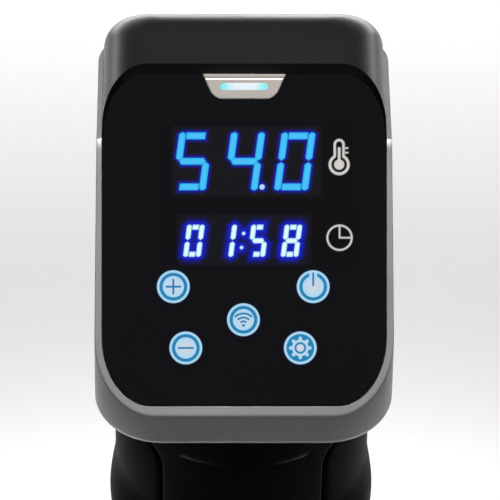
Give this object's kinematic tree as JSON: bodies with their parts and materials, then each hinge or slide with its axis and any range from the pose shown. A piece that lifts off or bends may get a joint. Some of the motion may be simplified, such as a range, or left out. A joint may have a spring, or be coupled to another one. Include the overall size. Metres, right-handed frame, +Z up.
{
  "type": "sous vide circulator",
  "caption": "Stick water-bath heater: wedge-shaped head with tilted display panel, gripped handle, slotted steel tube with heater and impeller, screw clamp.",
  "frame": {"origin": "on the steel sleeve's axis, at the flat underside of the bottom cap", "axes": "+Z up along the sleeve's axis, -Y towards the control panel's side, +X to the right seen from the panel, +Y towards the clamp"},
  "size_m": [0.075, 0.1322, 0.4],
  "materials": {
    "satin_metal": "satin silver finish over a moulded shell",
    "satin_black": "fine satin moulded dark grey",
    "gloss_black": "polished gloss black",
    "pale_metal": "satin pale warm silver",
    "lit_window": "translucent diffuser lit from behind in pale blue",
    "smoked_window": "smoked display window with lit blue segments",
    "board_green": "solder mask green",
    "steel": "brushed stainless steel",
    "copper": "bare copper and bronze",
    "dark_rubber": "soft matt black elastomer",
    "grey_plastic": "plain moulded grey",
    "white_plastic": "natural white engineering plastic"
  },
  "bodies": {
    "root": {"head_shell": "satin_metal", "top_cover": "satin_black", "handle_core": "satin_black", "handle_rear_cover": "satin_black", "clamp_bracket": "satin_black", "control_panel": "gloss_black", "handle_front_cover": "gloss_black", "buzzer": "gloss_black", "status_tab": "pale_metal", "status_light_bar": "lit_window", "key_plus": "lit_window", "key_minus": "lit_window", "key_wifi": "lit_window", "key_power": "lit_window", "key_settings": "lit_window", "temperature_display": "smoked_window", "timer_display": "smoked_window", "display_board": "board_green", "power_board": "board_green", "heat_sink": "steel", "radio_module": "steel", "head_screw_rear": "steel", "head_screw_left": "steel", "head_screw_right": "steel", "cover_screw_left": "steel", "cover_screw_right": "steel", "motor_can": "steel", "tube_flange": "steel", "heater_coil": "steel", "temperature_probe": "steel", "level_electrode_low": "steel", "level_electrode_high": "steel", "support_rod_front": "steel", "support_rod_rear": "steel", "bracket_screw_low": "steel", "bracket_screw_high": "steel", "lower_bush": "copper", "grip_left": "dark_rubber", "grip_right": "dark_rubber", "cord_gland": "dark_rubber", "flange_seal_ring": "dark_rubber", "shaft_seal": "dark_rubber", "clamp_jaw_pad": "dark_rubber", "magnet_ring": "dark_rubber", "relay": "grey_plastic", "motor_bracket": "grey_plastic", "transformer": "white_plastic", "shaft_guide": "white_plastic"},
    "rotor": {"motor_rotor": "copper", "motor_shaft": "steel", "cooling_fan": "grey_plastic", "shaft_coupling": "white_plastic", "drive_shaft": "steel", "impeller": "grey_plastic"},
    "sleeve": {"steel_sleeve": "steel"},
    "cap": {"bottom_cap": "satin_black"},
    "collar": {"locking_collar": "satin_black"},
    "clamp_pad": {"clamp_pressure_pad": "dark_rubber"},
    "clamp_screw": {"clamp_screw": "steel", "clamp_knob": "satin_black"}
  },
  "joints": [
    {"name": "rotor_spin", "type": "hinge", "parent": "root", "child": "rotor", "pos_m": [0, 0, 0.12], "axis": [0, 0, 1], "continuous": true},
    {"name": "collar_turn", "type": "hinge", "parent": "root", "child": "collar", "pos_m": [0, 0, 0.229], "axis": [0, 0, 1], "range_deg": [0, 30]},
    {"name": "sleeve_pull", "type": "slide", "parent": "root", "child": "sleeve", "axis": [0, 0, -1], "range_m": [0, 0.2]},
    {"name": "cap_pull", "type": "slide", "parent": "sleeve", "child": "cap", "axis": [0, 0, -1], "range_m": [0, 0.04]},
    {"name": "clamp_travel", "type": "slide", "parent": "root", "child": "clamp_pad", "axis": [0, -1, 0], "range_m": [-0.005, 0.006]},
    {"name": "clamp_turn", "type": "hinge", "parent": "clamp_pad", "child": "clamp_screw", "pos_m": [0, 0.06, 0.234], "axis": [0, -1, 0], "range_deg": [-900, 1080]}
  ],
  "couplings": [
    {"joint": "clamp_turn", "follows": "clamp_travel", "rad_per_m": 3141.6}
  ]
}
